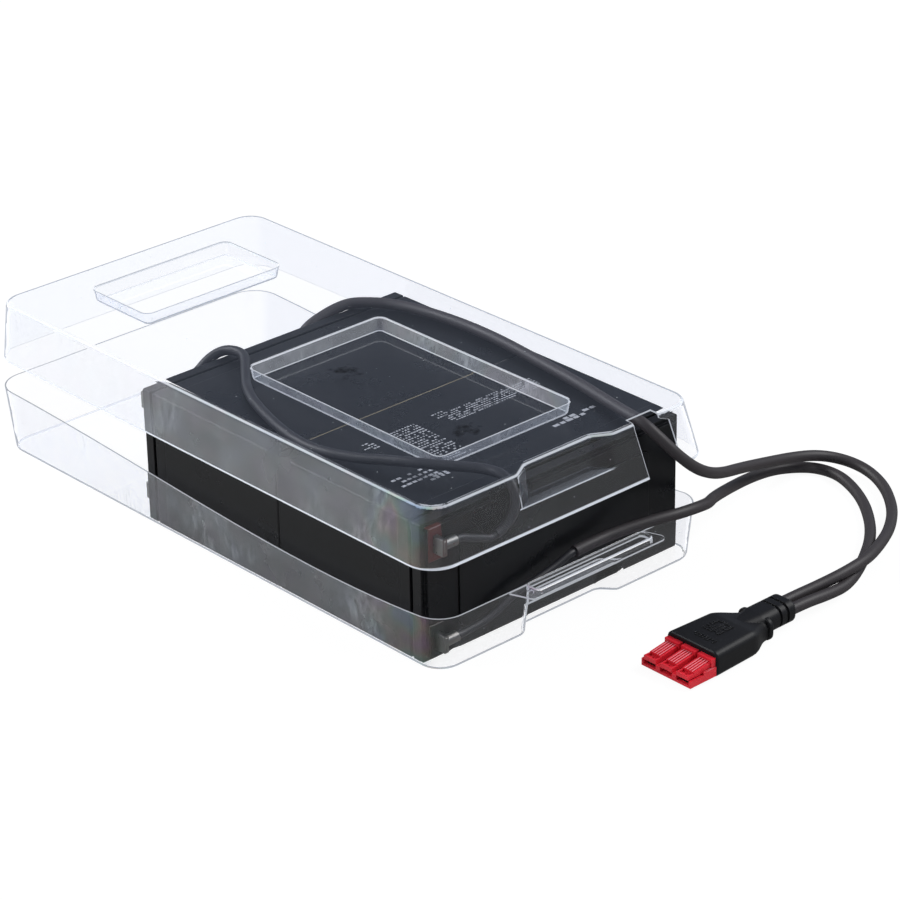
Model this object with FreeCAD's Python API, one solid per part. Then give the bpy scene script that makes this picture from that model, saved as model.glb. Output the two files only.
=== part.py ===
"""UPS battery cartridge: two sealed lead-acid blocks in a clear two-part shell, with leads and a red plug.

Millimetres, +Z up, the front with the finger recess and the cable slot faces -Y.
The origin is at the middle of the cartridge's footprint, on the surface that it stands on.
"""
import FreeCAD
import Part
import math
import os

Vector = FreeCAD.Vector

# Battery block
battery_length = 151.0
battery_width = 65.0
battery_height = 94.0
battery_edge = 1.0
case_wall = 2.6
case_floor = 3.0
cell_count = 6
cell_wall = 1.8
stack_clearance = 0.4
stack_height = 62.0
strap_height = 6.0
strap_width = 12.0
strap_from_side = 6.0

# Battery lid
lid_height = 15.5
lid_flange = 6.5
lid_groove = 2.0
lid_groove_depth = 1.8
lid_step = 2.2
lid_step_height = 2.0
lid_top_wall = 6.5
lid_skirt = 2.6
vent_length = 112.0
vent_width = 44.0
vent_corner = 3.0
vent_sunk = 1.0
vent_thickness = 1.7
vent_clearance = 0.2
valve_bore = 9.0
valve_depth = 3.6
valve_cap_wall = 1.2
valve_hole = 2.0

# Terminals and flag receptacles
seal_from_end = 2.6
seal_from_side = 2.0
seal_width = 7.4
seal_length = 15.6
seal_depth = 4.0
seal_raised = 0.6
tab_thickness = 0.8
tab_width = 6.35
tab_reach = 5.8
tab_root = 2.6
receptacle_length = 5.6
receptacle_wall = 0.9
barrel_outer = 5.0
barrel_length = 8.0
core_diameter = 3.4
core_insert = 4.0

# Clear shells
film = 0.8
draft_deg = 6.0
bays = 3
side_room = 1.0
tray_front_room = 9.3
cover_front_room = 5.9
rear_room = 11.4
plan_corner = 11.0
shell_round = 2.4

# Upper cover
lead_gap = 9.0
cover_depth = 28.0
pocket_depth = 6.4
pocket_corner = 3.6
pocket_draft_deg = 10.0
pocket_round = 1.3
pocket_floor_round = 1.2
front_pocket_length = 78.0
front_pocket_run = 126.0
front_pocket_shift = -1.2
front_pocket_from_lid = 28.5
rear_pocket_length = 80.5
rear_pocket_run = 41.5
rear_pocket_shift = 3.2
rear_pocket_from_rear = 20.5
recess_front_length = 56.0
recess_back_length = 38.0
recess_clearance = 0.7
recess_depth_z = 15.8
recess_corner = 4.5
sprung_corner = 6.5
slot_left = 40.6
slot_top_length = 15.0
slot_lean = 8.0
slot_widen = 6.0
slot_behind_lid = 1.5

# Lower tray
rim_front = 26.0
rim_low = 23.4
rim_low_at = 34.0
rim_middle = 27.6
rim_middle_at = 180.0
rim_rear = 32.8
rim_rear_at = 262.0
tray_recess_back_length = 44.0
tray_recess_height = 15.6
tray_recess_clearance = 2.4
handle_depth = 11.2
handle_back_left = -39.5
handle_back_right = 40.5
handle_skew = 4.5
handle_corner = 3.0
bead_height = 2.4
bead_margin = 1.2
bead_end_margin = 7.0
bead_corner = 3.2
bead_round = 1.0

# Leads
lead_diameter = 5.2
link_diameter = 4.6
lead_straight = 8.0
core_straight = 3.0

# Plug overmould
plug_tip = -11.6
plug_from_lid = 77.5
grip_width = 29.4
grip_waist_width = 27.2
grip_height = 12.0
grip_crown = 3.2
grip_rim = 1.0
grip_straight = 23.6
grip_taper = 14.0
grip_back_width = 17.0
grip_back_height = 9.2
shoulder_steps = 6
collar_width = 19.0
collar_height = 10.4
collar_lift = 0.2
collar_corner = 3.6
collar_edge = 0.8
collar_thickness = 2.5
neck_width = 14.2
neck_height = 10.6
neck_roundness = 0.42
neck_length = 16.5
neck_lift = 6.6
neck_end_round = 1.1
neck_groove = 0.8
neck_groove_width = 1.4
neck_groove_count = 2
neck_groove_pitch = 4.4
neck_groove_from_end = 5.7
ridge_run = 13.0
ridge_start = 8.0
lead_spacing = 6.8
lead_insert = 8.0

# Plug housing and contacts
housing_width = 28.2
housing_reach = 15.5
housing_insert = 7.0
housing_lift = 1.4
shoulder_inset = 1.1
plate_thickness = 1.2
rail_width = 1.0
rail_height = 2.1
rail_raised = 1.0
rail_raised_from_tip = 8.0
divider_width = 2.4
divider_length = 2.6
pole_count = 3
tower_width = 6.8
nose_length = 3.6
nose_height = 1.9
nose_wall = 0.8
nose_sunk = 0.9
nose_hole = 1.0
ramp_step = 0.3
ramp_rise = 1.3
ridge_count = 4
ridge_width = 0.5
ridge_height = 0.35
roof_width = 8.2
roof_length = 2.4
roof_rise = 1.4
contact_width = 4.8
contact_thickness = 0.9
contact_setback = 1.5

# Sizes that follow from the ones above
draft = math.tan(math.radians(draft_deg))
pocket_draft = math.tan(math.radians(pocket_draft_deg))
battery_bottom = film
battery_top = battery_bottom + battery_width
cover_top = battery_top + lead_gap + film
cover_rim = cover_top - cover_depth
rim_inset = draft * rim_front
tray_half = battery_length / 2 + side_room + film + rim_inset
front_reach = tray_front_room + film + rim_inset + handle_depth
rear_reach = bays * battery_height + rear_room + film + rim_inset
lid_face = (front_reach - rear_reach) / 2
tray_front = lid_face - tray_front_room - film - rim_inset
tray_rear = lid_face + rear_reach
cover_inset = draft * cover_depth
cover_half = tray_half
cover_front = lid_face - cover_front_room - film - cover_inset
pair_middle = lid_face + battery_height
half_length = battery_length / 2
middle_z = battery_bottom + battery_width / 2
seal_x = -half_length + seal_from_end + seal_width / 2
positive_z = battery_top - seal_from_side - seal_length / 2
negative_z = battery_bottom + seal_from_side + seal_length / 2
overcut = 4.0

# Plug stations along X, and where the leads enter it
plug_axis = lid_face - plug_from_lid
grip_face = plug_tip + housing_reach
collar_x = grip_face + grip_straight + grip_taper
neck_x = collar_x + collar_thickness
neck_end = neck_x + neck_length

# Plug levels
plate_top = housing_lift + plate_thickness
rail_top = plate_top + rail_height
nose_top = rail_top + nose_height
tower_top = nose_top + ramp_step + ramp_rise
roof_top = tower_top + roof_rise


def laid(points):
    """Places measured from the middle across, the front lid face back and the batteries' underside up."""
    return [(x, lid_face + y, battery_bottom + z) for x, y, z in points]


def into_plug(side):
    """The straight end of a lead, in its bore of the plug's neck."""
    y = plug_axis + side * lead_spacing / 2
    return [(neck_end + lead_straight, y, neck_lift), (neck_end - lead_insert, y, neck_lift)]


# Routes of the leads as they lie, from the receptacle end
link_route = laid([
    (-49.0, 192.3, 55.8), (-41.0, 192.6, 59.0), (-33.0, 190.8, 68.6), (-26.0, 185.5, 71.2),
    (-24.8, 176.0, 70.4), (-35.0, 163.3, 68.4), (-49.5, 144.8, 67.8), (-58.4, 121.0, 67.8),
    (-64.4, 98.0, 67.8), (-65.2, 79.0, 67.8), (-58.6, 60.5, 68.4), (-52.6, 48.8, 69.8),
    (-47.4, 37.0, 71.0), (-41.7, 27.9, 71.1), (-34.6, 20.2, 70.6), (-28.6, 13.2, 70.0),
    (-26.0, 3.8, 69.8), (-25.8, -3.2, 64.8), (-28.6, -4.6, 57.0), (-33.0, -4.6, 52.0), (-39.4, -4.6, 50.2),
])
positive_route = laid([
    (-46.0, 192.6, 10.8), (-33.0, 192.9, 14.0), (-17.0, 193.0, 21.6), (-1.0, 193.0, 32.4),
    (12.0, 192.8, 45.0), (21.5, 192.4, 57.4), (29.4, 190.8, 66.8), (39.4, 187.2, 69.0), (50.2, 182.2, 68.5),
    (59.4, 173.0, 68.0), (65.2, 157.0, 67.9), (68.5, 133.0, 67.9), (68.3, 106.0, 67.9), (65.0, 77.0, 67.9),
    (61.4, 47.0, 67.9), (56.6, 23.0, 68.2), (52.8, 8.2, 69.4), (53.0, -0.6, 68.6), (56.0, -7.6, 62.6),
    (61.2, -13.2, 54.8), (70.0, -15.4, 46.2), (83.4, -11.6, 37.8), (100.0, -3.8, 29.4), (118.6, 2.4, 23.2),
    (140.6, 7.8, 16.2), (160.4, 9.8, 11.2), (173.6, 7.6, 8.6), (182.0, 2.4, 6.4), (186.6, -5.6, 4.6),
    (187.0, -15.4, 3.2), (182.8, -26.6, 2.2), (175.0, -37.4, 2.0), (165.0, -47.8, 2.0), (150.0, -58.8, 3.4),
    (133.0, -68.4, 6.2), (115.0, -76.4, 8.4), (98.0, -77.6, 8.0), (83.0, -75.6, 6.4),
]) + into_plug(1)
negative_route = laid([
    (5.5, -6.0, 25.8), (20.0, -6.2, 26.4), (33.4, -9.4, 27.8), (46.4, -13.4, 28.8), (59.0, -16.8, 28.8),
    (70.4, -16.6, 27.6), (82.4, -12.0, 23.8), (94.0, -3.0, 18.6), (114.6, 6.6, 12.6), (137.4, 14.8, 7.0),
    (156.0, 17.8, 3.4), (167.6, 14.4, 2.0), (174.6, 6.8, 2.0), (176.4, -4.8, 2.0), (171.4, -18.6, 2.0),
    (163.4, -32.0, 2.0), (153.6, -43.8, 2.0), (143.0, -54.0, 2.0), (130.6, -62.8, 2.0), (113.4, -73.4, 2.0),
    (97.6, -80.4, 2.2), (83.0, -81.8, 4.4),
]) + into_plug(-1)
positive_core_route = laid([(-51.0, -4.0, 52.4)])
negative_core_route = laid([
    (-43.5, -4.7, 12.0), (-31.5, -5.0, 18.0), (-15.5, -5.5, 20.6), (-4.0, -5.8, 23.4),
])


def turned_in(corners, inset):
    """Offset a counter-clockwise outline of (x, y, radius) corners towards its inside."""
    count = len(corners)
    lines = []
    for index in range(count):
        x0, y0, _ = corners[index]
        x1, y1, _ = corners[(index + 1) % count]
        run = math.hypot(x1 - x0, y1 - y0)
        ux = (x1 - x0) / run
        uy = (y1 - y0) / run
        lines.append((x0 - uy * inset, y0 + ux * inset, ux, uy))
    moved = []
    for index in range(count):
        ax, ay, aux, auy = lines[index - 1]
        bx, by, bux, buy = lines[index]
        turn = aux * buy - auy * bux
        along = ((bx - ax) * buy - (by - ay) * bux) / turn
        radius = corners[index][2] - inset if turn > 0 else corners[index][2] + inset
        moved.append((ax + aux * along, ay + auy * along, radius))
    return moved


def outline(corners, z):
    """Closed wire at height z through the corners, each rounded by a tangent arc."""
    count = len(corners)
    arcs = []
    for index in range(count):
        x, y, radius = corners[index]
        here = Vector(x, y, z)
        before = Vector(corners[index - 1][0], corners[index - 1][1], z)
        after = Vector(corners[(index + 1) % count][0], corners[(index + 1) % count][1], z)
        to_before = (before - here).normalize()
        to_after = (after - here).normalize()
        half = to_before.getAngle(to_after) / 2
        reach = radius / math.tan(half)
        bisector = (to_before + to_after).normalize()
        middle = here + bisector * (radius / math.sin(half) - radius)
        arcs.append((here + to_before * reach, middle, here + to_after * reach))
    edges = []
    for index in range(count):
        start, middle, end = arcs[index]
        edges.append(Part.Arc(start, middle, end).toShape())
        edges.append(Part.LineSegment(end, arcs[(index + 1) % count][0]).toShape())
    return Part.Wire(edges)


def loft(low_corners, low_z, high_corners, high_z):
    return Part.makeLoft([outline(low_corners, low_z), outline(high_corners, high_z)], True, True)


def rectangle(x0, x1, y0, y1, radius):
    return [(x0, y0, radius), (x1, y0, radius), (x1, y1, radius), (x0, y1, radius)]


def box(x0, x1, y0, y1, z0, z1):
    return Part.makeBox(x1 - x0, y1 - y0, z1 - z0, Vector(x0, y0, z0))


def edges_at(shape, z):
    """Edges that lie in the level plane at height z."""
    found = []
    for edge in shape.Edges:
        if abs(edge.BoundBox.ZMin - z) < 1e-4 and abs(edge.BoundBox.ZMax - z) < 1e-4:
            found.append(edge)
    return found


def rounded_rod(points, diameter):
    """A rod along straight runs joined by tangent arcs as large as the runs allow."""
    places = [Vector(*point) for point in points]
    edges = []
    radii = []
    start = places[0]
    for index in range(1, len(places) - 1):
        here = places[index]
        back = places[index - 1] - here
        ahead = places[index + 1] - here
        reach = 0.45 * min(back.Length, ahead.Length)
        back.normalize()
        ahead.normalize()
        half = back.getAngle(ahead) / 2
        radius = reach * math.tan(half)
        bisector = (back + ahead).normalize()
        middle = here + bisector * (radius / math.sin(half) - radius)
        enter = here + back * reach
        leave = here + ahead * reach
        edges.append(Part.LineSegment(start, enter).toShape())
        edges.append(Part.Arc(enter, middle, leave).toShape())
        radii.append(radius)
        start = leave
    edges.append(Part.LineSegment(start, places[-1]).toShape())
    path = Part.Wire(edges)
    heading = places[1] - places[0]
    ring = Part.Wire([Part.makeCircle(diameter / 2, places[0], heading)])
    rod = path.makePipeShell([ring], True, False)
    print("radii", [round(radius) for radius in radii], "length", round(path.Length, 1),
          "volume share", round(rod.Volume / (path.Length * math.pi * diameter ** 2 / 4), 4))
    return rod


def turn_over(shape):
    """The rear battery is the front one turned over about the middle of the pair."""
    copy = shape.copy()
    copy.rotate(Vector(0, pair_middle, middle_z), Vector(1, 0, 0), 180)
    return copy


# Clear shells

def notched_plan(half, front, rear, front_length, back_length, back_y, corner):
    """Shell plan with a finger recess in the middle of the front edge."""
    return [
        (-half, front, plan_corner), (-front_length / 2, front, corner), (-back_length / 2, back_y, corner),
        (back_length / 2, back_y, corner), (front_length / 2, front, corner), (half, front, plan_corner),
        (half, rear, plan_corner), (-half, rear, plan_corner),
    ]


def sprung(corners, drop):
    """The right front corner stands out below the top, because the cable slot frees it."""
    moved = []
    for x, y, radius in corners:
        free = x > cover_half / 2 and y < lid_face
        moved.append((x + sprung_corner * drop / cover_depth if free else x, y, radius))
    return moved


def cover_form(inset):
    """The space inside the cover's outer skin, drawn in by the inset."""
    half = cover_half - cover_inset
    front = cover_front + cover_inset
    rear = tray_rear - cover_inset
    top = cover_top - inset
    ledge = cover_top - recess_depth_z - inset
    low = cover_rim if inset == 0 else cover_rim - overcut
    plain = rectangle(-half, half, front, rear, plan_corner)
    recess_back = lid_face - recess_clearance - film
    notched = notched_plan(half, front, rear, recess_front_length, recess_back_length, recess_back,
                           recess_corner)
    ledge_out = inset - draft * (cover_top - ledge)
    low_out = inset - draft * (cover_top - low)
    top_out = inset - draft * inset
    low_plan = sprung(turned_in(plain, low_out), cover_top - low)
    ledge_drop = cover_top - ledge
    lower = loft(low_plan, low, sprung(turned_in(plain, ledge_out), ledge_drop), ledge)
    upper = loft(sprung(turned_in(notched, ledge_out), ledge_drop), ledge, turned_in(notched, top_out), top)
    form = lower.fuse(upper).removeSplitter()
    rear_near = rear - rear_pocket_from_rear - rear_pocket_run
    pockets = (
        (front_pocket_length, front_pocket_shift, lid_face + front_pocket_from_lid, front_pocket_run),
        (rear_pocket_length, rear_pocket_shift, rear_near, rear_pocket_run),
    )
    floor = cover_top - pocket_depth - inset
    for length, shift, near, depth in pockets:
        rim = rectangle(shift - length / 2, shift + length / 2, near, near + depth, pocket_corner)
        floor_in = pocket_draft * (cover_top - floor) - inset
        above_in = -pocket_draft * overcut - inset
        hollow = loft(turned_in(rim, floor_in), floor, turned_in(rim, above_in), cover_top + overcut)
        hollow = hollow.makeFillet(pocket_floor_round + inset, edges_at(hollow, floor))
        form = form.cut(hollow)
    rims = pocket_rims(form, top, half, rear)
    shoulders = [edge for edge in edges_at(form, top) if not any(edge.isSame(rim) for rim in rims)]
    form = form.makeFillet(shell_round - inset, shoulders)
    return form.makeFillet(pocket_round - inset, pocket_rims(form, top, half, rear))


def pocket_rims(form, top, half, rear):
    """Edges round the pockets, in the top face."""
    rims = []
    for edge in edges_at(form, top):
        middle = edge.valueAt((edge.FirstParameter + edge.LastParameter) / 2)
        inside_x = abs(middle.x) < half - plan_corner
        inside_y = lid_face + front_pocket_from_lid - pocket_corner < middle.y < rear - plan_corner
        if inside_x and inside_y:
            rims.append(edge)
    return rims


def upper_cover():
    shell = cover_form(0).cut(cover_form(film))
    right = slot_left + slot_top_length
    slot = Part.Face(Part.makePolygon([
        Vector(slot_left, 0, cover_top + overcut), Vector(right, 0, cover_top + overcut),
        Vector(right, 0, cover_top - shell_round), Vector(right + slot_widen, 0, cover_top - 2 * shell_round),
        Vector(right + slot_widen + slot_lean, 0, cover_rim - overcut),
        Vector(slot_left + slot_lean, 0, cover_rim - overcut),
        Vector(slot_left, 0, cover_top - shell_round), Vector(slot_left, 0, cover_top + overcut),
    ]))
    slot.translate(Vector(0, cover_front - overcut, 0))
    reach = lid_face - slot_behind_lid - cover_front + overcut
    return shell.cut(slot.extrude(Vector(0, reach, 0)))


def tray_form(inset):
    """The space inside the tray's outer skin, drawn in by the inset, open upwards."""
    half = tray_half - rim_inset
    front = tray_front + rim_inset
    rear = tray_rear - rim_inset
    roof = tray_recess_height + inset
    high = rim_rear if inset == 0 else rim_rear + overcut
    plain = rectangle(-half, half, front, rear, plan_corner)
    recess_back = lid_face - tray_recess_clearance - film
    notched = notched_plan(half, front, rear, recess_front_length, tray_recess_back_length, recess_back,
                           recess_corner)
    floor_out = inset - draft * inset
    roof_out = inset - draft * roof
    high_out = inset - draft * high
    lower = loft(turned_in(notched, floor_out), inset, turned_in(notched, roof_out), roof)
    upper = loft(turned_in(plain, roof_out), roof, turned_in(plain, high_out), high)
    form = lower.fuse(upper).removeSplitter()
    return form.makeFillet(shell_round - inset, edges_at(form, inset))


def rim_trim():
    """What the wavy trimmed rim leaves off the side and rear walls."""
    wave = Part.BSplineCurve()
    wave.interpolate([
        Vector(0, lid_face, rim_front), Vector(0, lid_face + rim_low_at, rim_low),
        Vector(0, lid_face + rim_middle_at, rim_middle), Vector(0, lid_face + rim_rear_at, rim_rear - film),
        Vector(0, tray_rear + overcut, rim_rear),
    ])
    sky = rim_rear + 2 * overcut
    close = Part.makePolygon([
        Vector(0, tray_rear + overcut, rim_rear), Vector(0, tray_rear + overcut, sky),
        Vector(0, tray_front - overcut, sky), Vector(0, tray_front - overcut, rim_front),
        Vector(0, lid_face, rim_front),
    ])
    face = Part.Face(Part.Wire([wave.toShape()] + close.Edges))
    face.translate(Vector(-tray_half - overcut, 0, 0))
    return face.extrude(Vector(2 * (tray_half + overcut), 0, 0))


def lower_tray():
    shell = tray_form(0).cut(tray_form(film)).cut(rim_trim())
    inner_front = tray_front + film
    tip = tray_front - handle_depth
    plate = [
        (handle_back_left + handle_skew, tip, handle_corner),
        (handle_back_right + handle_skew, tip, handle_corner),
        (handle_back_right, inner_front, 0.01), (handle_back_left, inner_front, 0.01),
    ]
    flange = loft(plate, rim_front - film, plate, rim_front)
    bead_left = handle_back_left + bead_end_margin
    bead_right = handle_back_right - bead_end_margin + handle_skew
    bead = rectangle(bead_left, bead_right, tip + bead_margin, tray_front - bead_margin, bead_corner)
    top = rim_front + bead_height
    crown = loft(bead, rim_front - film, turned_in(bead, draft * bead_height), top)
    crown = crown.makeFillet(bead_round, edges_at(crown, top))
    inner = turned_in(bead, film)
    hollow = loft(inner, rim_front - film - overcut, turned_in(inner, draft * bead_height), top - film)
    return shell.fuse([flange, crown]).cut(hollow).removeSplitter()


# Battery pieces, in the front battery's place with its lid face towards the front

def container():
    back = lid_face + battery_height
    front = lid_face + lid_height
    block = box(-half_length, half_length, front, back, battery_bottom, battery_top)
    long_edges = []
    base_edges = []
    for edge in block.Edges:
        size = edge.BoundBox
        if size.YLength > 1:
            long_edges.append(edge)
        elif size.YMin > back - 1e-3:
            base_edges.append(edge)
    block = block.makeFillet(battery_edge, long_edges + base_edges)
    pitch = (battery_length - 2 * case_wall + cell_wall) / cell_count
    for index in range(cell_count):
        left = -half_length + case_wall + index * pitch
        room = box(left, left + pitch - cell_wall, front - overcut, back - case_floor,
                   battery_bottom + case_wall, battery_top - case_wall)
        block = block.cut(room)
    return block


def cell_stacks():
    back = lid_face + battery_height - case_floor
    pitch = (battery_length - 2 * case_wall + cell_wall) / cell_count
    low = battery_bottom + case_wall + stack_clearance
    high = battery_top - case_wall - stack_clearance
    top = back - stack_height
    stacks = []
    for index in range(cell_count):
        left = -half_length + case_wall + index * pitch + stack_clearance
        right = left + pitch - cell_wall - 2 * stack_clearance
        plates = box(left, right, top, back, low, high)
        for z in (low + strap_from_side, high - strap_from_side - strap_width):
            strap = box(left, right, top - strap_height, top, z, z + strap_width)
            plates = plates.fuse(strap)
        stacks.append(plates.removeSplitter())
    return Part.makeCompound(stacks)


def valve_places():
    pitch = vent_length / cell_count
    return [-vent_length / 2 + pitch * (index + 0.5) for index in range(cell_count)]


def lid():
    seam = lid_face + lid_height
    flange_front = seam - lid_flange
    band_back = flange_front - lid_groove
    step_front = lid_face + lid_step_height
    deep = lid_groove_depth

    def slab(y0, y1, inset):
        half = half_length - inset
        body = box(-half, half, y0, y1, battery_bottom + inset, battery_top - inset)
        sides = [edge for edge in body.Edges if edge.BoundBox.YLength > (y1 - y0) / 2]
        return body.makeFillet(battery_edge, sides)

    body = slab(flange_front, seam, 0)
    body = body.fuse([slab(band_back, flange_front, deep), slab(step_front, band_back, 0),
                      slab(lid_face, step_front, lid_step)])
    skirt = lid_skirt + deep
    hollow = box(-half_length + skirt, half_length - skirt, lid_face + lid_top_wall, seam + overcut,
                 battery_bottom + skirt, battery_top - skirt)
    body = body.cut(hollow)
    well = face_loft(turned_in(vent_outline(), -vent_clearance), lid_face - overcut, lid_face + vent_sunk)
    body = body.cut(well)
    for x in valve_places():
        bore = Part.makeCylinder(valve_bore / 2, vent_sunk + valve_depth + overcut,
                                 Vector(x, lid_face - overcut, middle_z), Vector(0, 1, 0))
        hole = Part.makeCylinder(valve_hole / 2, lid_height, Vector(x, lid_face, middle_z), Vector(0, 1, 0))
        body = body.cut(bore).cut(hole)
    for z in (positive_z, negative_z):
        body = body.cut(seal_block(z, lid_face - overcut, lid_face + seal_depth))
    return body.removeSplitter()


def vent_outline():
    return rectangle(-vent_length / 2, vent_length / 2, middle_z - vent_width / 2, middle_z + vent_width / 2,
                     vent_corner)


def face_loft(corners, y0, y1):
    """A prism along Y with its outline given as (x, z, radius) corners."""
    prism = loft(corners, 0, corners, y1 - y0)
    prism.rotate(Vector(0, 0, 0), Vector(1, 0, 0), 90)
    prism.translate(Vector(0, y1, 0))
    return prism


def vent_cover():
    seat = lid_face + vent_sunk
    return face_loft(vent_outline(), seat - vent_thickness, seat)


def valve_caps():
    seat = lid_face + vent_sunk
    caps = []
    for x in valve_places():
        cap = Part.makeCylinder(valve_bore / 2, valve_depth, Vector(x, seat, middle_z), Vector(0, 1, 0))
        bore = Part.makeCylinder(valve_bore / 2 - valve_cap_wall, valve_depth,
                                 Vector(x, seat + valve_cap_wall, middle_z), Vector(0, 1, 0))
        caps.append(cap.cut(bore))
    return Part.makeCompound(caps)


def seal_block(z, y0, y1):
    half = seal_length / 2
    return box(seal_x - seal_width / 2, seal_x + seal_width / 2, y0, y1, z - half, z + half)


def tab_blade(z, y0, y1):
    half = tab_width / 2
    return box(seal_x - tab_thickness / 2, seal_x + tab_thickness / 2, y0, y1, z - half, z + half)


def seal(z):
    face = lid_face - seal_raised
    block = seal_block(z, face, lid_face + seal_depth)
    rim = [edge for edge in block.Edges if edge.BoundBox.YMax < face + 1e-3]
    block = block.makeChamfer(seal_raised / 2, rim)
    return block.cut(tab_blade(z, face - overcut, lid_face + tab_root))


def tab(z):
    blade = tab_blade(z, lid_face - seal_raised - tab_reach, lid_face + tab_root)
    tip = [edge for edge in blade.Edges if edge.BoundBox.YMax < lid_face - seal_raised - tab_reach + 1e-3]
    return blade.makeChamfer(tab_thickness / 3, tip)


def receptacle(z):
    """Flag receptacle: a folded sleeve on the tab and a crimp barrel at right angles to it."""
    seat = lid_face - seal_raised
    sleeve_x = tab_thickness / 2 + receptacle_wall
    sleeve_z = tab_width / 2 + receptacle_wall
    middle_y = seat - receptacle_length / 2
    body = box(seal_x - sleeve_x, seal_x + sleeve_x, seat - receptacle_length, seat,
               z - sleeve_z, z + sleeve_z)
    corners = [edge for edge in body.Edges if edge.BoundBox.YLength > 1]
    body = body.makeFillet(receptacle_wall / 2, corners)
    barrel = Part.makeCylinder(barrel_outer / 2, barrel_length, Vector(seal_x, middle_y, z), Vector(1, 0, 0))
    body = body.fuse(barrel)
    bore = Part.makeCylinder(core_diameter / 2, core_insert, core_start(z), Vector(1, 0, 0))
    return body.cut(tab_blade(z, seat - tab_reach - overcut, seat + overcut)).cut(bore).removeSplitter()


def core_start(z):
    middle_y = lid_face - seal_raised - receptacle_length / 2
    return Vector(seal_x + barrel_length - core_insert, middle_y, z)


def core(z, route, sleeve, rear):
    """The wire from a barrel to the end of its sleeve, which it enters in line."""
    start = core_start(z)
    out = start + Vector(core_insert + core_diameter, 0, 0)
    points = [start, out]
    if rear:
        points = [mirror_point(point) for point in points]
    end = Vector(*sleeve[0])
    heading = (Vector(*sleeve[1]) - end).normalize()
    points += [Vector(*point) for point in route] + [end - heading * core_straight, end]
    return rounded_rod([tuple(point) for point in points], core_diameter)


def mirror_point(point):
    return Vector(point.x, 2 * pair_middle - point.y, 2 * middle_z - point.z)


# Plug

def tapered(front, back, x0, x1):
    """A block along X between two outlines given as (y, z, radius) corners."""
    block = loft(front, 0, back, x1 - x0)
    block.rotate(Vector(0, 0, 0), Vector(1, 1, 1), 120)
    block.translate(Vector(x0, plug_axis, 0))
    return block


def along_axis(corners, x0, x1):
    return tapered(corners, corners, x0, x1)


def section(width, height, middle, radius):
    return rectangle(-width / 2, width / 2, middle - height / 2, middle + height / 2, radius)


def neck_section(width, height):
    return section(width, height, neck_lift, neck_roundness * height)


def grip():
    """The flat block behind the red housing, which draws in to the collar in a long curve."""
    shoulder = grip_face + grip_straight
    front = section(grip_width, grip_height, grip_height / 2, grip_crown)
    waist = section(grip_waist_width, grip_height, grip_height / 2, grip_crown)
    block = tapered(front, waist, grip_face, shoulder)
    rim = [edge for edge in block.Edges if edge.BoundBox.XMax < grip_face + 1e-3]
    block = block.makeFillet(grip_rim, rim)
    step = grip_taper / shoulder_steps
    slices = []
    before = waist
    for index in range(shoulder_steps):
        share = (index + 1) / shoulder_steps
        drawn_in = (1 - math.cos(math.pi * share)) / 2
        width = grip_waist_width + (grip_back_width - grip_waist_width) * drawn_in
        height = grip_height + (grip_back_height - grip_height) * share
        after = section(width, height, height / 2, grip_crown)
        slices.append(tapered(before, after, shoulder + index * step, shoulder + (index + 1) * step))
        before = after
    return block.fuse(slices)


def neck():
    """Strain relief with grooves round it, and the ridge by which it runs out on the grip."""
    body = along_axis(neck_section(neck_width, neck_height), collar_x, neck_end)
    end = [edge for edge in body.Edges if edge.BoundBox.XMin > neck_end - 1e-3]
    body = body.makeFillet(neck_end_round, end)
    for index in range(neck_groove_count):
        x0 = neck_end - neck_groove_from_end - index * neck_groove_pitch
        x1 = x0 + neck_groove_width
        around = along_axis(neck_section(neck_width + overcut, neck_height + overcut), x0, x1)
        left = along_axis(neck_section(neck_width - 2 * neck_groove, neck_height - 2 * neck_groove), x0, x1)
        body = body.cut(around.cut(left))
    ridge = tapered(neck_section(ridge_start, ridge_start), neck_section(neck_width, neck_height),
                    collar_x - ridge_run, collar_x)
    return body.fuse(ridge)


def plug_overmould():
    collar = along_axis(section(collar_width, collar_height, collar_lift + collar_height / 2, collar_corner),
                        collar_x, neck_x)
    rim = [edge for edge in collar.Edges if edge.BoundBox.XLength < 1e-3]
    collar = collar.makeFillet(collar_edge, rim)
    body = grip().fuse([collar, neck()]).cut(housing_shoulder())
    for side in (1, -1):
        place = Vector(neck_end - lead_insert, plug_axis + side * lead_spacing / 2, neck_lift)
        body = body.cut(Part.makeCylinder(lead_diameter / 2, lead_insert + overcut, place, Vector(1, 0, 0)))
    return body.removeSplitter()


def housing_shoulder():
    """The back part of the red housing, which the overmould grips."""
    half = housing_width / 2 - shoulder_inset
    return box(grip_face, grip_face + housing_insert, plug_axis - half, plug_axis + half,
               housing_lift + plate_thickness / 2, tower_top)


def pole_places():
    pitch = housing_width / pole_count
    return [plug_axis - housing_width / 2 + pitch * (index + 0.5) for index in range(pole_count)]


def across(y, width, x0, x1, z0, z1):
    """A block of the given width about the place y."""
    return box(x0, x1, y - width / 2, y + width / 2, z0, z1)


def slice_across(corners, y, width):
    """A slice of the given width about the place y, its side view given as (x, z) corners."""
    places = [Vector(x, y - width / 2, z) for x, z in corners]
    return Part.Face(Part.makePolygon(places + places[:1])).extrude(Vector(0, width, 0))


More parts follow.
